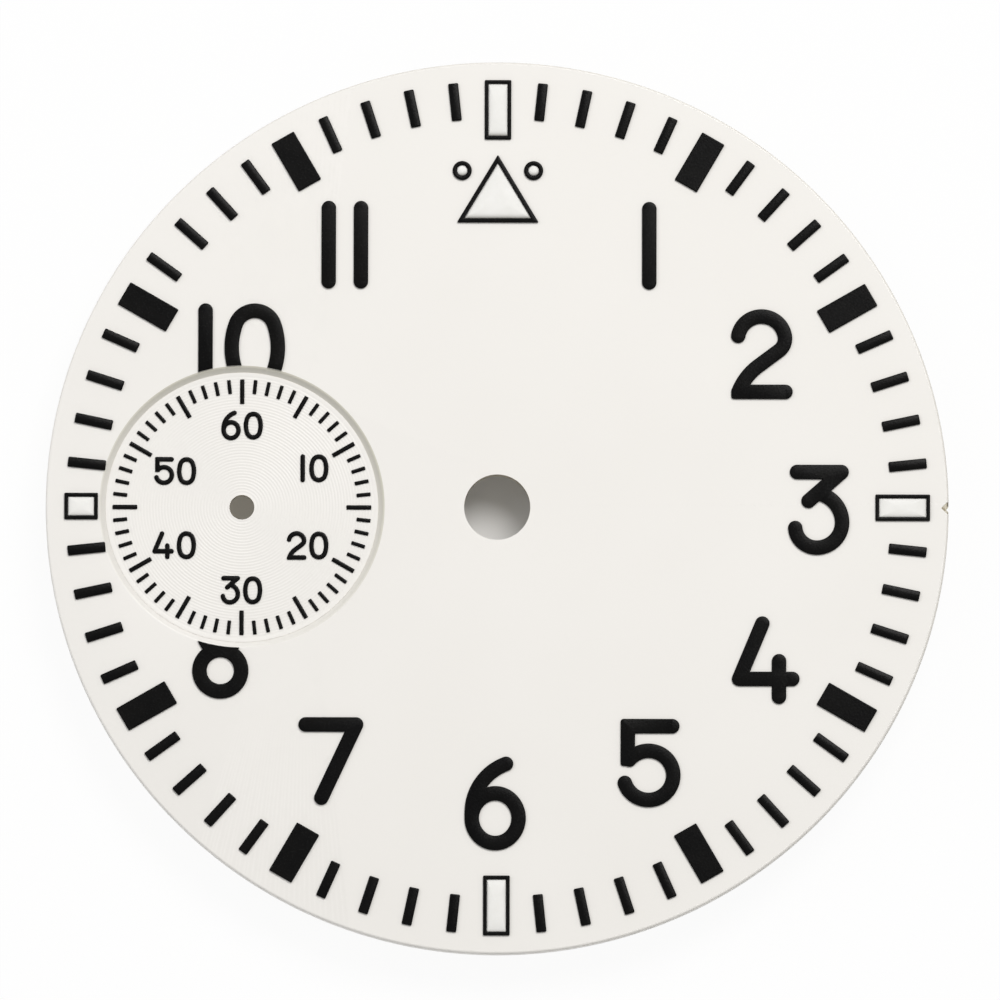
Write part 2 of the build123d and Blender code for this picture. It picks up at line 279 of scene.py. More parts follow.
noiseSpan = (0.3, 0.7)  # nearly all of a noise's values lie between these


def mapShare(tree, value, low, high):
    return rangeNode(tree, value, noiseSpan, (low, high))


def bumpNode(tree, height, depth):
    node = addNode(tree, "ShaderNodeBump")
    return feed(tree, node, {"Height": height, "Distance": depth * mm}).outputs["Normal"]


# depths in millimetres, roughness and colours from the lowest to the highest
finishes = {
    "whiteLacquer": {
        "colours": ((0.882, 0.862, 0.826), (0.898, 0.879, 0.845)),
        "roughness": (0.36, 0.44),
        "grain": 2600.0,
        "depth": 0.0016,
        "drift": 120.0,
        "fixed": {"Specular IOR Level": 0.38, "Coat Weight": 0.12, "Coat Roughness": 0.25},
        # painted shade on the recess wall and the rim easing, darkest on the side away from the light
        "walls": {
            "recess": {
                "tint": (0.73, 0.72, 0.64),
                "centre": (-11.0, 0.0),
                "from": 5.875,
                "to": 6.15,
                "firstShare": 0.4,
                "darkest": 65.0,
            },
            "rim": {
                "tint": (0.78, 0.77, 0.74),
                "centre": (0.0, 0.0),
                "from": 19.37,
                "to": 19.46,
                "firstShare": 0.2,
                "darkest": 40.0,
            },
        },
    },
    "raisedBlack": {
        "colours": ((0.0026, 0.0026, 0.0028), (0.0048, 0.0046, 0.0044)),
        "roughness": (0.2, 0.3),
        "grain": 11000.0,
        "depth": 0.004,
        "drift": 900.0,
        "fixed": {"Specular IOR Level": 0.08},
    },
    "luminousPaste": {
        "colours": ((0.865, 0.86, 0.83), (0.905, 0.90, 0.875)),
        "roughness": (0.45, 0.65),
        "grain": 16000.0,
        "depth": 0.006,
        "drift": 1500.0,
        "fixed": {"Specular IOR Level": 0.35},
        # colour of the painted shade at the lowest edge of some fills
        "thin": (0.42, 0.41, 0.39),
    },
}
metalWear = {
    "grain": 7000.0,
    "drift": 170.0,
    "stainShare": 0.55,
    "scratchRoughness": 0.12,
    "scratchDepth": -0.5,
}
metals = {
    "turnedBrass": {
        "colours": ((0.58, 0.53, 0.41), (0.76, 0.70, 0.57)),
        "stain": (0.40, 0.35, 0.25),
        "centre": (0, 0, 0),
        "rings": 15000.0,
        "depth": 0.004,
        "roughness": (0.24, 0.42),
    },
    "discBrass": {
        "colours": ((0.60, 0.55, 0.43), (0.78, 0.72, 0.59)),
        "stain": (0.40, 0.35, 0.25),
        "centre": (-0.011, 0, 0),
        "rings": 19000.0,
        "depth": 0.004,
        "roughness": (0.26, 0.44),
    },
    "footCopper": {
        "colours": ((0.70, 0.36, 0.22), (0.86, 0.52, 0.36)),
        "stain": (0.36, 0.19, 0.12),
        "centre": (0, 0, 0),
        "rings": 24000.0,
        "depth": 0.003,
        "roughness": (0.22, 0.4),
    },
}


def newMaterial(name):
    material = bpy.data.materials.new(name)
    material.use_nodes = True
    return material, material.node_tree, material.node_tree.nodes["Principled BSDF"]


def placeGroup(tree, group, values):
    return feed(tree, addNode(tree, "ShaderNodeGroup", node_tree=group), values)


# darkens a round wall's colour with painted shade
def paintShadeOnWall(tree, colour, facts):
    darkest = math.radians(facts["darkest"])
    values = {
        "Centre": (facts["centre"][0] * mm, facts["centre"][1] * mm, 0),
        "First Radius": facts["from"] * mm,
        "Last Radius": facts["to"] * mm,
        "First Share": facts["firstShare"],
        "Darkest Side": (math.cos(darkest), math.sin(darkest), 0),
    }
    share = placeGroup(tree, paintedWallShadeGroup, values).outputs["Share"]
    return mixColours(tree, share, colour, facts["tint"], "MULTIPLY")


def makeCoating(name, facts):
    material, tree, surface = newMaterial(name)
    marks = placeGroup(tree, grainGroup, {"Grain Scale": facts["grain"], "Drift Scale": facts["drift"]})
    grain = marks.outputs["Grain"]
    colour = mixColours(tree, mapShare(tree, marks.outputs["Drift"], 0, 1), *facts["colours"])
    for wall in facts.get("walls", {}).values():
        colour = paintShadeOnWall(tree, colour, wall)
    # painted shade: darker where the piece marks its lowest edge, as on the luminous fills
    if "thin" in facts:
        thinness = addNode(tree, "ShaderNodeAttribute", attribute_name="thinness").outputs["Fac"]
        colour = mixColours(tree, thinness, colour, facts["thin"], "MULTIPLY")
    looks = {
        "Base Color": colour,
        "Roughness": mapShare(tree, grain, *facts["roughness"]),
        "Normal": bumpNode(tree, grain, facts["depth"]),
    }
    feed(tree, surface, {**looks, **facts["fixed"]})
    return material


def makeMetal(name, facts):
    material, tree, surface = newMaterial(name)
    lathe = placeGroup(tree, turningGroup, {"Centre": facts["centre"], "Ring Scale": facts["rings"]})
    rings, scratches = lathe.outputs["Rings"], lathe.outputs["Scratches"]
    wear = {"Grain Scale": metalWear["grain"], "Drift Scale": metalWear["drift"]}
    marks = placeGroup(tree, grainGroup, wear)
    bright = mixColours(tree, mapShare(tree, rings, 0, 1), *facts["colours"])
    stain = mapShare(tree, marks.outputs["Drift"], 0, metalWear["stainShare"])
    dull = mathNode(tree, "MULTIPLY", scratches, metalWear["scratchRoughness"])
    cut = mathNode(tree, "MULTIPLY", scratches, metalWear["scratchDepth"])
    looks = {
        "Base Color": mixColours(tree, stain, bright, facts["stain"]),
        "Roughness": mathNode(tree, "ADD", mapShare(tree, marks.outputs["Grain"], *facts["roughness"]), dull),
        "Normal": bumpNode(tree, mathNode(tree, "ADD", rings, cut), facts["depth"]),
        "Metallic": 1.0,
    }
    feed(tree, surface, looks)
    return material


# sizes and finish of the floor
floorSizes = {
    "radius": 3000.0,
    "sides": 96,
    "colour": (0.93, 0.93, 0.93),
    "roughness": 0.9,
    "specular": 0.1,
    "whiteShare": 0.94,
    "whiteShareBelow": 0.045,
    "shadeStart": 14.0,
    "shadeEnd": 19.0,
}


def makeFloorFinish():
    # glows white to the camera and in reflections, as painted light: weakest below the dial, so its real
    # shadow shows there, and strong outside it, where it covers the dial's shadow
    material, tree, surface = newMaterial("paleFloor")
    looks = {
        "Base Color": (*floorSizes["colour"], 1),
        "Roughness": floorSizes["roughness"],
        "Specular IOR Level": floorSizes["specular"],
    }
    feed(tree, surface, looks)
    path = addNode(tree, "ShaderNodeLightPath")
    seen = mathNode(tree, "MAXIMUM", path.outputs["Is Camera Ray"], path.outputs["Is Glossy Ray"])
    seen = mathNode(tree, "MAXIMUM", seen, path.outputs["Is Transmission Ray"])
    place = addNode(tree, "ShaderNodeTexCoord").outputs["Object"]
    # painted light: the glow's share rises from below the dial outwards
    white = rangeNode(
        tree,
        vectorNode(tree, "LENGTH", place, output="Value"),
        (floorSizes["shadeStart"] * mm, floorSizes["shadeEnd"] * mm),
        (floorSizes["whiteShareBelow"], floorSizes["whiteShare"]),
        interpolation_type="SMOOTHSTEP",
    )
    paintedGlow = addNode(tree, "ShaderNodeEmission").outputs["Emission"]
    above = mixShaders(tree, mathNode(tree, "MULTIPLY", seen, white), surface.outputs["BSDF"], paintedGlow)
    # seen from below the floor is clear, so the back of the dial can be looked at
    below = addNode(tree, "ShaderNodeNewGeometry").outputs["Backfacing"]
    clear = addNode(tree, "ShaderNodeBsdfTransparent").outputs[0]
    feed(tree, tree.nodes["Material Output"], {"Surface": mixShaders(tree, below, above, clear)})
    return material


materials = {name: makeCoating(name, facts) for name, facts in finishes.items()}
materials.update({name: makeMetal(name, facts) for name, facts in metals.items()})
materials["paleFloor"] = makeFloorFinish()
print("finishes made:", len(materials))


def turned(point, angle):
    c, s = math.cos(angle), math.sin(angle)
    return Vector((point[0] * c - point[1] * s, point[0] * s + point[1] * c))


def circleLoop(centre, radius, count):
    return [Vector(centre) + turned((radius, 0), 2 * math.pi * k / count) for k in range(count)]


def addRing(mesh, loop, height):
    return [mesh.verts.new((p[0] * mm, p[1] * mm, height * mm)) for p in loop]


def joinRings(mesh, first, second):
    count = len(first)
    for k in range(count):
        mesh.faces.new((first[k], first[(k + 1) % count], second[(k + 1) % count], second[k]))


def insideLoops(point, loops):
    inside = False
    for loop in loops:
        for a, b in zip(loop, loop[1:] + loop[:1]):
            if (a[1] > point[1]) != (b[1] > point[1]):
                if point[0] < (b[0] - a[0]) * (point[1] - a[1]) / (b[1] - a[1]) + a[0]:
                    inside = not inside
    return inside


def fillRings(mesh, rings, loops):
    # a flat face between the rings, with holes where one lies within another
    flat = [Vector(p) for loop in loops for p in loop]
    owners = [v for ring in rings for v in ring]
    edges, start = [], 0
    for loop in loops:
        edges += [(start + k, start + (k + 1) % len(loop)) for k in range(len(loop))]
        start += len(loop)
    points, _, triangles, sources, _, _ = delaunay_2d_cdt(flat, edges, [], 0, outlineGap)
    owned = []
    for point, source in zip(points, sources):
        owned.append(owners[source[0]] if source else None)
    level = owners[0].co.z
    for triangle in triangles:
        middle = sum((points[k] for k in triangle), Vector((0, 0))) / 3
        if insideLoops(middle, loops):
            for k in triangle:
                if owned[k] is None:
                    owned[k] = mesh.verts.new((points[k][0] * mm, points[k][1] * mm, level))
            corners = [owned[k] for k in triangle]
            if len(set(corners)) == 3 and mesh.faces.get(corners) is None:
                mesh.faces.new(corners)


# edges that turn more than this stay sharp, in degrees
sharpAngles = {"turned": 32.0, "marker": 50.0, "fill": 60.0, "copied": 5.0}


def finishMesh(name, mesh, finish, sharpAngle=sharpAngles["turned"]):
    bmesh.ops.remove_doubles(mesh, verts=mesh.verts, dist=mergeGap)
    bmesh.ops.recalc_face_normals(mesh, faces=mesh.faces)
    data = bpy.data.meshes.new(name)
    mesh.to_mesh(data)
    mesh.free()
    data.materials.append(materials[finish])
    data.shade_smooth()
    data.set_sharp_from_angle(angle=math.radians(sharpAngle))
    piece = bpy.data.objects.new(name, data)
    scene.collection.objects.link(piece)
    return piece


def bake(piece):
    # turn the piece and its modifiers into one plain mesh
    graph = bpy.context.evaluated_depsgraph_get()
    shown = piece.evaluated_get(graph)
    data = bpy.data.meshes.new_from_object(shown, preserve_all_data_layers=True, depsgraph=graph)
    piece.modifiers.clear()
    piece.data = data
    return piece


def evenNormals(piece):
    # large flat faces keep flat shading beside their small roundings
    weighted = piece.modifiers.new("evenNormals", "WEIGHTED_NORMAL")
    weighted.keep_sharp = True
    weighted.weight = 100  # the largest face beside a corner decides
    return bake(piece)


def settle(piece, slot, *replaced):
    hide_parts(*replaced)
    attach(piece, "root")


# sizes of the plate, the recess and the rim notch
plate = {
    "radius": 19.42,
    "thickness": 0.50,
    "rimEasing": 0.08,
    "hole": 1.425,
    "coat": 0.03,
    "coatSkirt": 0.10,
    "easingSteps": 10,
    "rimSides": 1440,
    "holeSides": 192,
}
recess = {
    "centre": (-11.0, 0.0),
    "mouth": 6.10,
    "floor": 5.875,
    "discThickness": 0.30,
    "lip": 0.40,
    "clearance": 0.01,
    "hole": 0.535,
    "easing": 0.15,
    "sides": 480,
    "holeSides": 96,
}
notch = {
    "apex": 19.12,
    "flare": 0.34 / 0.33,  # half its width over its depth
    "slope": 20.0,
    "mouth": 19.9,
    "below": -0.02,
    "above": 0.70,
}


def quarterTurn(steps):
    # even angles from nothing to a quarter of a turn
    return [math.pi / 2 * k / steps for k in range(steps + 1)]


def rimProfile(radius, easing, top, steps):
    # from the flat top over the eased rim
    points = []
    for a in quarterTurn(steps):
        points.append((radius - easing + easing * math.sin(a), top - easing + easing * math.cos(a)))
    return points


def mouthProfile(mouth, floor, top, bottom, easing, steps):
    # from the flat top over the eased mouth and down the cone
    slope = math.atan2(top - bottom, mouth - floor)
    start = mouth + easing * math.tan(slope / 2)
    points = []
    for k in range(steps + 1):
        a = slope * k / steps
        points.append((start - easing * math.sin(a), top - easing * (1 - math.cos(a))))
    return points + [(floor, bottom)]


def ringedSheet(name, finish, *boundaries):
    # each boundary of the sheet has its centre, its sides and a profile from the upper face down
    mesh = bmesh.new()
    upper, lower, upperLoops, lowerLoops = [], [], [], []
    for centre, sides, profile in boundaries:
        loops = [circleLoop(centre, r, sides) for r, _ in profile]
        rings = [addRing(mesh, loop, z) for loop, (_, z) in zip(loops, profile)]
        for first, second in zip(rings, rings[1:]):
            joinRings(mesh, first, second)
        upper.append(rings[0])
        lower.append(rings[-1])
        upperLoops.append(loops[0])
        lowerLoops.append(loops[-1])
    fillRings(mesh, upper, upperLoops)
    fillRings(mesh, lower, lowerLoops)
    return finishMesh(name, mesh, finish)


def cutNotch(piece, allowance):
    # a V that closes towards the back, cut with a tapered wedge
    mesh = bmesh.new()
    rings = []
    reach = math.hypot(1, notch["flare"]) / notch["flare"]
    top = plate["thickness"] + plate["coat"]
    for height in (notch["below"], notch["above"]):
        closing = (top - height) * math.tan(math.radians(notch["slope"])) - allowance
        apex = notch["apex"] + closing * reach
        half = (notch["mouth"] - apex) * notch["flare"]
        loop = [(apex, 0), (notch["mouth"], -half), (notch["mouth"], half)]
        rings.append(addRing(mesh, loop, height))
    joinRings(mesh, *rings)
    mesh.faces.new(rings[0])
    mesh.faces.new(rings[1])
    cutter = finishMesh("notchWedge", mesh, "turnedBrass")
    cut = piece.modifiers.new("notch", "BOOLEAN")
    cut.operation = "DIFFERENCE"
    cut.solver = "EXACT"
    cut.object = cutter
    bake(piece)
    bpy.data.objects.remove(cutter)
    piece.data.set_sharp_from_angle(angle=math.radians(sharpAngles["turned"]))
    return piece


origin = (0.0, 0.0)
plateTop = plate["thickness"]
coatTop = plateTop + plate["coat"]
coatRadius = plate["radius"] + plate["coat"]
discTop = recess["discThickness"]
discCoatTop = discTop + plate["coat"]
discRadius = recess["floor"] + recess["lip"]
seat = discRadius + recess["clearance"]
bevelFloor = recess["floor"] + plate["coat"]
bevelMouth = recess["mouth"] + plate["coat"]
steps = plate["easingSteps"]

plateRim = rimProfile(plate["radius"], plate["rimEasing"], plateTop, steps)
plateSeat = [(bevelMouth, plateTop), (bevelFloor, discTop), (seat, discTop), (seat, 0)]
dialPlateBody = ringedSheet(
    "dialPlateBody",
    "turnedBrass",
    (origin, plate["rimSides"], plateRim + [(plate["radius"], 0)]),
    (origin, plate["holeSides"], [(plate["hole"], plateTop), (plate["hole"], 0)]),
    (recess["centre"], recess["sides"], plateSeat),
)
cutNotch(dialPlateBody, plate["coat"])
settle(evenNormals(dialPlateBody), "brass", "dial_plate")

coatRim = rimProfile(coatRadius, plate["rimEasing"] + plate["coat"], coatTop, steps)
coatSkirt = [(coatRadius, plate["coatSkirt"]), (plate["radius"], plate["coatSkirt"])]
coatMouth = mouthProfile(recess["mouth"], recess["floor"], coatTop, discTop, recess["easing"], steps)
whiteCoat = ringedSheet(
    "whiteCoat",
    "whiteLacquer",
    (origin, plate["rimSides"], coatRim + coatSkirt + plateRim[::-1]),
    (origin, plate["holeSides"], [(plate["hole"], coatTop), (plate["hole"], plateTop)]),
    (recess["centre"], recess["sides"], coatMouth + [(bevelFloor, discTop), (bevelMouth, plateTop)]),
)
cutNotch(whiteCoat, 0)
settle(evenNormals(whiteCoat), "white_lacquer", "plate_lacquer")
print("plate and coat made")

secondsDisc = ringedSheet(
    "secondsDisc",
    "discBrass",
    (recess["centre"], recess["sides"], [(discRadius, discTop), (discRadius, 0)]),
    (recess["centre"], recess["holeSides"], [(recess["hole"], discTop), (recess["hole"], 0)]),
)
settle(evenNormals(secondsDisc), "brass", "small_seconds_disc")


def closeTree(tree, ends, out, geometry):
    # make the copies real, give them their finish and put them out
    real = addNode(tree, "GeometryNodeRealizeInstances")
    feed(tree, real, {0: geometry})
    paint = addNode(tree, "GeometryNodeSetMaterial")
    feed(tree, paint, {"Geometry": real.outputs[0], "Material": ends.outputs["Material"]})
    feed(tree, out, {0: paint.outputs[0]})


# fine rings in the small seconds' lacquer
grooves = {"pitch": 0.129, "depth": 0.007, "divisions": 5, "sides": 216, "plainEdge": 0.05}


def makeGrooveTree():
    # sinks fine rings into the upper face, by distance from the centre
    tree, ends, out = newTree(
        "fineGrooves",
        "GeometryNodeTree",
        [
            ("Geometry", "Geometry"),
            ("Centre", "Vector"),
            ("First Radius", "Float"),
            ("Last Radius", "Float"),
            ("Pitch", "Float"),
            ("Depth", "Float"),
            ("Above", "Float"),
            ("Material", "Material"),
        ],
        [("Geometry", "Geometry")],
    )
    first, last = ends.outputs["First Radius"], ends.outputs["Last Radius"]
    place = addNode(tree, "GeometryNodeInputPosition").outputs[0]
    parts = addNode(tree, "ShaderNodeSeparateXYZ")
    feed(tree, parts, {0: vectorNode(tree, "SUBTRACT", place, ends.outputs["Centre"])})
    squares = [mathNode(tree, "MULTIPLY", parts.outputs[axis], parts.outputs[axis]) for axis in "XY"]
    reach = mathNode(tree, "SQRT", mathNode(tree, "ADD", *squares))
    turns = mathNode(tree, "DIVIDE", mathNode(tree, "SUBTRACT", reach, first), ends.outputs["Pitch"])
    wave = mathNode(tree, "COSINE", mathNode(tree, "MULTIPLY", turns, 2 * math.pi))
    sink = mathNode(tree, "MULTIPLY", mathNode(tree, "SUBTRACT", wave, 1.0), ends.outputs["Depth"])
    shift = feed(tree, addNode(tree, "ShaderNodeCombineXYZ"), {"Z": sink})
    upper = mathNode(tree, "GREATER_THAN", parts.outputs["Z"], ends.outputs["Above"])
    above = mathNode(tree, "GREATER_THAN", reach, first)
    within = mathNode(tree, "LESS_THAN", reach, last)
    grooved = mathNode(tree, "MULTIPLY", mathNode(tree, "MULTIPLY", upper, above), within)
    move = addNode(tree, "GeometryNodeSetPosition")
    feed(tree, move, {"Geometry": ends.outputs["Geometry"], "Selection": grooved, "Offset": shift.outputs[0]})
    closeTree(tree, ends, out, move.outputs[0])
    return tree


def runTree(piece, tree, values):
    # give each named input its value by the socket's identifier, then keep the plain mesh
    modifier = piece.modifiers.new(tree.name, "NODES")
    modifier.node_group = tree
    for item in tree.interface.items_tree:
        if item.in_out == "INPUT" and item.name in values:
            modifier[item.identifier] = values[item.name]
    return bake(piece)


def makeGroovedCoat():
    hole, floor = recess["hole"], recess["floor"]
    first = hole + grooves["plainEdge"]
    count = int((floor - grooves["plainEdge"] - first) / grooves["pitch"])
    last = first + count * grooves["pitch"]
    divisions = count * grooves["divisions"]
    radii = [first + (last - first) * k / divisions for k in range(divisions + 1)]
    profile = [(r, discCoatTop) for r in (hole, *radii, floor)] + [(floor, discTop), (hole, discTop)]
    mesh = bmesh.new()
    rings = [addRing(mesh, circleLoop(recess["centre"], r, grooves["sides"]), z) for r, z in profile]
    for one, two in zip(rings, rings[1:] + rings[:1]):
        joinRings(mesh, one, two)
    piece = finishMesh("groovedCoat", mesh, "whiteLacquer")
    values = {
        "Centre": (recess["centre"][0] * mm, recess["centre"][1] * mm, discTop * mm),
        "First Radius": first * mm,
        "Last Radius": last * mm,
        "Pitch": grooves["pitch"] * mm,
        "Depth": grooves["depth"] / 2 * mm,
        "Above": plate["coat"] / 2 * mm,
        "Material": materials["whiteLacquer"],
    }
    return runTree(piece, makeGrooveTree(), values)


settle(makeGroovedCoat(), "white_lacquer", "disc_lacquer")
print("small seconds made")


# sizes of the copper feet, with their places as clock angles
foot = {
    "radius": 0.475,
    "length": 2.20,
    "chamfer": 0.10,
    "flange": 0.775,
    "flangeThickness": 0.08,
    "easing": 0.20,
    "steps": 8,
    "reach": 17.3,
    "angles": (51.0, 234.0),
    "sides": 96,
}


def makeFoot(number, clockAngle):
    turn = math.radians(clockAngle)
    centre = (foot["reach"] * math.sin(turn), foot["reach"] * math.cos(turn))
    radius, easing, shoulder = foot["radius"], foot["easing"], foot["flangeThickness"]
    profile = [(foot["flange"], 0), (foot["flange"], -shoulder)]
    for a in quarterTurn(foot["steps"]):
        profile.append((radius + easing * (1 - math.sin(a)), -shoulder - easing * (1 - math.cos(a))))
    profile.append((radius, -foot["length"] + foot["chamfer"]))
    profile.append((radius - foot["chamfer"], -foot["length"]))
    piece = ringedSheet(f"dialFoot{number}", "footCopper", (centre, foot["sides"], profile))
    settle(evenNormals(piece), "copper", f"dial_foot_{number}")


for number, clockAngle in enumerate(foot["angles"], 1):
    makeFoot(number, clockAngle)


# sizes of the raised markers and their luminous fills
marker = {"height": 0.12, "easing": 0.045, "steps": 5}
triangleMarker = dict(marker, easing=0.025)  # less than the rounding of its corners
smallMarker = {"height": 0.06, "easing": 0.025, "steps": 3}
lume = {
    "height": 0.11,
    "edge": 0.05,
    "crown": 2.4,
    "steps": 16,
    "spacing": 0.06,
    # how far painted shade reaches up from a fill's lowest edge, and the fills that have it
    "thinReach": 0.24,
    "thinAtFoot": ("frame_lume_12", "triangle_lume", "dot_lume_left", "dot_lume_right"),
}

# how an outline read from a solid is refined: turns in radians, and the ratio of neighbouring runs
outline = {"straight": 0.01, "sharp": 0.62, "uneven": 1.5, "leastReach": 0.35}
underside = -0.9  # a face whose normal's height is below this looks down


def footLoops(nodeName):
    # the closed lines round a CAD node's foot: the outer ones to the left, holes to the right
    source = bmesh.new()
    source.from_mesh(cadNodes[nodeName].data)
    bmesh.ops.remove_doubles(source, verts=source.verts, dist=mergeGap)
    source.normal_update()
    source.edges.index_update()
    low = min(v.co.z for v in source.verts)
    border = {}
    for edge in source.edges:
        level = all(abs(v.co.z - low) < levelGap for v in edge.verts)
        down = sum(f.normal.z < underside for f in edge.link_faces)
        if level and len(edge.link_faces) == 2 and down == 1:
            border[edge.index] = edge
    loops = []
    while border:
        edge = border.pop(min(border))
        start, end = edge.verts
        loop = [start]
        while end is not start:
            loop.append(end)
            edge = next(e for e in end.link_edges if e.index in border)
            border.pop(edge.index)
            end = edge.other_vert(end)
        loops.append([Vector((v.co.x / mm, v.co.y / mm)) for v in loop])
    source.free()
    kept = []
    for loop in loops:
        others = [other for other in loops if other is not loop]
        hole = insideLoops(loop[0], others)
        area = sum(a[0] * b[1] - b[0] * a[1] for a, b in zip(loop, loop[1:] + loop[:1]))
        kept.append(loop[::-1] if (area < 0) != hole else loop)
    return kept, low / mm


def turnAt(a, b, c):
    # how far the line turns left at b
    first, second = b - a, c - b
    return math.atan2(first[0] * second[1] - first[1] * second[0], first.dot(second))


def roundLoop(loop):
    # one more point on each short arc of the line, with straight runs and sharp corners kept
    out = []
    count = len(loop)
    for k in range(count):
        a, b, c, d = (loop[(k + step) % count] for step in (-1, 0, 1, 2))
        out.append(b)
        run = c - b
        turns = []
        for corner, beside in ((turnAt(a, b, c), (b - a).length), (turnAt(b, c, d), (d - c).length)):
            alike = run.length / outline["uneven"] < beside < run.length * outline["uneven"]
            if alike and outline["straight"] < abs(corner) < outline["sharp"]:
                turns.append(corner)
        if turns:
            arc = min(turns, key=abs)
            side = Vector((run[1], -run[0]))
            out.append((b + c) / 2 + side * math.tan(arc / 4) / 2)
    return out


def insetLoop(loop, depth):
    # the line moved inwards, less far at very sharp corners
    out = []
    count = len(loop)
    for k in range(count):
        a, b, c = loop[k - 1], loop[k], loop[(k + 1) % count]
        first, second = (b - a).normalized(), (c - b).normalized()
        left = Vector((-first[1], first[0])) + Vector((-second[1], second[0]))
        reach = max(outline["leastReach"], left.length_squared / 2)
        out.append(b + left * depth / reach)
    return out


def easedPrism(name, loops, low, facts):
    # straight walls on the loops, with the upper edge rounded over
    mesh = bmesh.new()
    top = low + facts["height"]
    levels = [(0.0, low)]
    for a in quarterTurn(facts["steps"]):
        levels.append((facts["easing"] * (1 - math.cos(a)), top - facts["easing"] * (1 - math.sin(a))))
    rings = []
    for depth, height in levels:
        level = [insetLoop(loop, depth) if depth else loop for loop in loops]
        rings.append((level, [addRing(mesh, loop, height) for loop in level]))
    for (_, one), (_, two) in zip(rings, rings[1:]):
        for first, second in zip(one, two):
            joinRings(mesh, first, second)
    fillRings(mesh, rings[0][1], rings[0][0])
    fillRings(mesh, rings[-1][1], rings[-1][0])
    return evenNormals(finishMesh(name, mesh, "raisedBlack", sharpAngles["marker"]))


def pieceName(nodeName):
    words = nodeName.split("_")
    return words[0] + "".join(word.capitalize() for word in words[1:])


def copyMarker(nodeName):
    # a figure that the recess cuts to thin horns keeps its solid's own faces
    mesh = bmesh.new()
    mesh.from_mesh(cadNodes[nodeName].data)
    piece = finishMesh(pieceName(nodeName), mesh, "raisedBlack", sharpAngles["copied"])
    settle(piece, "black_print", nodeName)


def raiseMarker(nodeName, facts):
    loops, low = footLoops(nodeName)
    piece = easedPrism(pieceName(nodeName), [roundLoop(loop) for loop in loops], low, facts)
    settle(piece, "black_print", nodeName)


def denseLoop(loop, spacing):
    # the same line with points about a spacing apart
    out = []
    for a, b in zip(loop, loop[1:] + loop[:1]):
        pieces = max(1, round((b - a).length / spacing))
        out += [a + (b - a) * k / pieces for k in range(pieces)]
    return out


def fillWithLume(nodeName):
    # a crowned fill: rings drawn in towards the middle, rising as they go
    loops, low = footLoops(nodeName)
    loop = denseLoop(roundLoop(loops[0]), lume["spacing"])
    middle = sum(loop, Vector((0, 0))) / len(loop)
    mesh = bmesh.new()
    thinness = mesh.verts.layers.float.new("thinness")
    rings = [addRing(mesh, loop, low)]
    for a in quarterTurn(lume["steps"])[:-1]:
        share = math.cos(a)
        rise = (1 - share ** lume["crown"]) ** 0.5
        height = low + lume["height"] * (lume["edge"] + (1 - lume["edge"]) * rise)
        rings.append(addRing(mesh, [middle + (p - middle) * share for p in loop], height))
    for one, two in zip(rings, rings[1:]):
        joinRings(mesh, one, two)
    mesh.faces.new(rings[0])
    apex = mesh.verts.new((middle[0] * mm, middle[1] * mm, (low + lume["height"]) * mm))
    last = rings[-1]
    for k in range(len(last)):
        mesh.faces.new((last[k], last[(k + 1) % len(last)], apex))
    # painted shade: strongest at the fill's lowest edge and gone a short reach above it
    if nodeName in lume["thinAtFoot"]:
        lowest = min(v.co.y for v in mesh.verts)
        for v in mesh.verts:
            v[thinness] = max(0.0, 1 - (v.co.y - lowest) / (lume["thinReach"] * mm)) ** 2
    settle(finishMesh(pieceName(nodeName), mesh, "luminousPaste", sharpAngles["fill"]), "lume", nodeName)


for nodeName in sorted(cadNodes):
    if nodeName == "numeral_8":
        copyMarker(nodeName)
    elif nodeName == "triangle_frame":
        raiseMarker(nodeName, triangleMarker)
    elif nodeName.startswith(("hour_block", "hour_frame", "dot_ring", "numeral")):
        raiseMarker(nodeName, marker)
    elif nodeName.startswith("seconds_numeral"):
        raiseMarker(nodeName, smallMarker)
    elif "lume" in nodeName:
        fillWithLume(nodeName)
print("figures, frames and fills made")


# sizes of the bars that repeat round a circle, the angle between them, and every how many one is
# left out, where 0 leaves out none
minuteBar = {
    "width": 0.435,
    "length": 1.64,
    "reach": 18.60,
    "corner": 0.05,
    "count": 4,
    "step": 6.0,
    "leaveOut": 0,
}
fiveBar = {
    "width": 0.19,
    "length": 1.07,
    "reach": 5.575,
    "corner": 0.03,
    "count": 12,
    "step": 30.0,
    "leaveOut": 0,
}
secondBar = {
    "width": 0.16,
    "length": 0.61,
    "reach": 5.575,
    "corner": 0.03,
    "count": 60,
    "step": 6.0,
    "leaveOut": 5,
}
barEasingSteps = 3
barCornerSteps = 2
hourCount = 12
nonzero = 0.5  # whole numbers above this are not zero


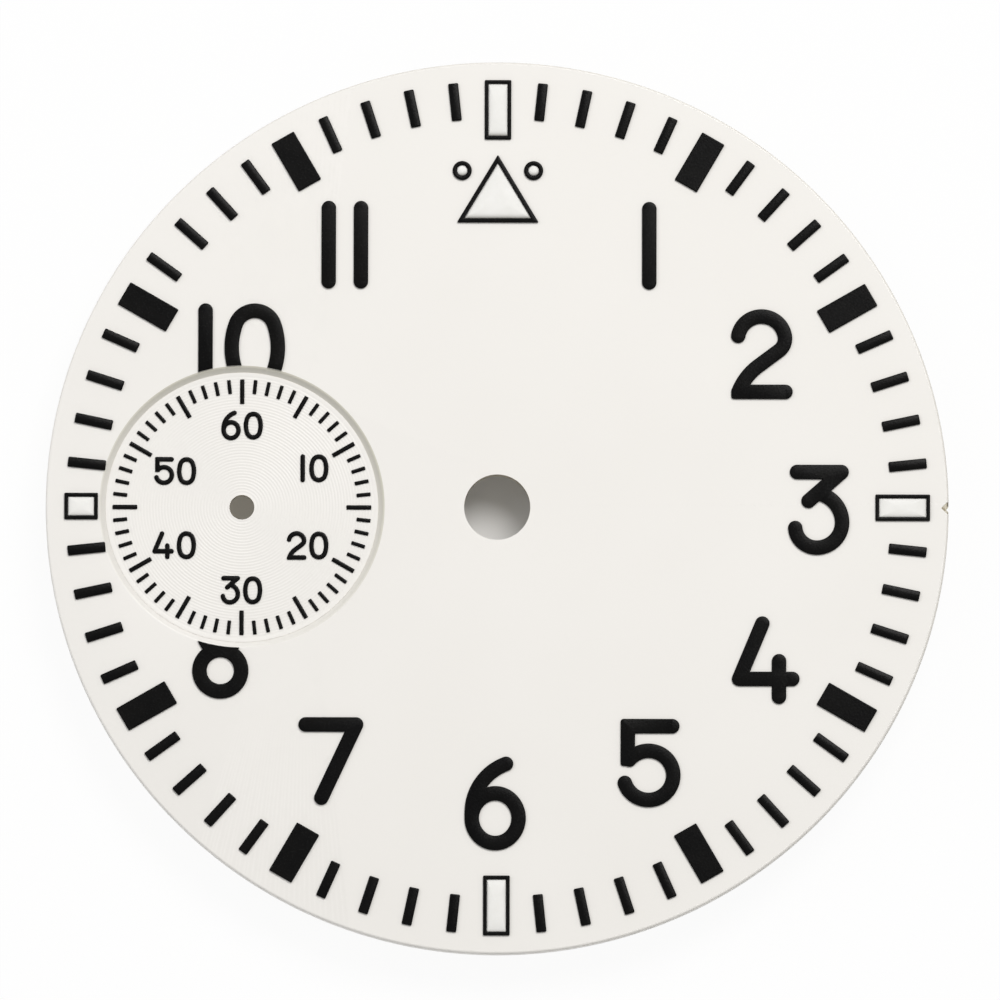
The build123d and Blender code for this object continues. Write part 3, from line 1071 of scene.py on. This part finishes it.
def makeBarTree():
    # copies of one bar, turned clockwise round a centre, with every nth left out
    tree, ends, out = newTree(
        "barsRoundCircle",
        "GeometryNodeTree",
        [
            ("Geometry", "Geometry"),
            ("Centre", "Vector"),
            ("Count", "Int"),
            ("First Angle", "Float"),
            ("Step Angle", "Float"),
            ("Leave Out Every", "Int"),
            ("Material", "Material"),
        ],
        [("Geometry", "Geometry")],
    )
    points = addNode(tree, "GeometryNodePoints")
    feed(tree, points, {"Count": ends.outputs["Count"], "Position": ends.outputs["Centre"]})
    index = addNode(tree, "GeometryNodeInputIndex").outputs[0]
    stepped = mathNode(tree, "MULTIPLY", index, ends.outputs["Step Angle"])
    angle = mathNode(tree, "ADD", stepped, ends.outputs["First Angle"])
    clockwise = mathNode(tree, "MULTIPLY", mathNode(tree, "RADIANS", angle), -1.0)
    turn = feed(tree, addNode(tree, "ShaderNodeCombineXYZ"), {"Z": clockwise})
    every = ends.outputs["Leave Out Every"]
    between = mathNode(tree, "GREATER_THAN", mathNode(tree, "MODULO", index, every), nonzero)
    kept = mathNode(tree, "MAXIMUM", between, mathNode(tree, "LESS_THAN", every, nonzero))
    copies = addNode(tree, "GeometryNodeInstanceOnPoints")
    values = {
        "Points": points.outputs[0],
        "Selection": kept,
        "Instance": ends.outputs["Geometry"],
        "Rotation": turn.outputs[0],
    }
    feed(tree, copies, values)
    closeTree(tree, ends, out, copies.outputs[0])
    return tree


barTree = makeBarTree()


def barLoop(facts):
    # a round-cornered bar that stands along +Y with its outer end at the reach
    half, corner = facts["width"] / 2, facts["corner"]
    low, high = facts["reach"] - facts["length"], facts["reach"]
    loop = []
    for cx, cy, start in (
        (half - corner, low + corner, -90),
        (half - corner, high - corner, 0),
        (corner - half, high - corner, 90),
        (corner - half, low + corner, 180),
    ):
        for k in range(barCornerSteps + 1):
            a = math.radians(start + 90 * k / barCornerSteps)
            loop.append(Vector((cx + corner * math.cos(a), cy + corner * math.sin(a))))
    return loop


def makeBars(name, nodeName, bar, facts, centre, low, first=0.0):
    piece = easedPrism(name, [barLoop(bar)], low, dict(facts, steps=barEasingSteps))
    values = {
        "Centre": (centre[0] * mm, centre[1] * mm, 0.0),
        "Count": bar["count"],
        "First Angle": first,
        "Step Angle": bar["step"],
        "Leave Out Every": bar["leaveOut"],
        "Material": materials["raisedBlack"],
    }
    settle(runTree(piece, barTree, values), "black_print", nodeName)


for hour in range(hourCount):
    label = hour or hourCount
    first = hour * 360.0 / hourCount + minuteBar["step"]
    makeBars(f"minuteBars{label}", f"minute_bars_after_{label}", minuteBar, marker, origin, coatTop, first)
makeBars("fiveSecondBars", "five_second_bars", fiveBar, smallMarker, recess["centre"], discCoatTop)
makeBars("secondBars", "second_bars", secondBar, smallMarker, recess["centre"], discCoatTop)
print("bars made")


def makeFloor():
    level = cadBox[0][2] / mm
    mesh = bmesh.new()
    ring = addRing(mesh, circleLoop(origin, floorSizes["radius"], floorSizes["sides"]), level)
    mesh.faces.new(ring)
    floor = finishMesh("floor", mesh, "paleFloor")
    if floor.data.polygons[0].normal.z < 0:
        floor.data.flip_normals()


makeFloor()
print("floor made")
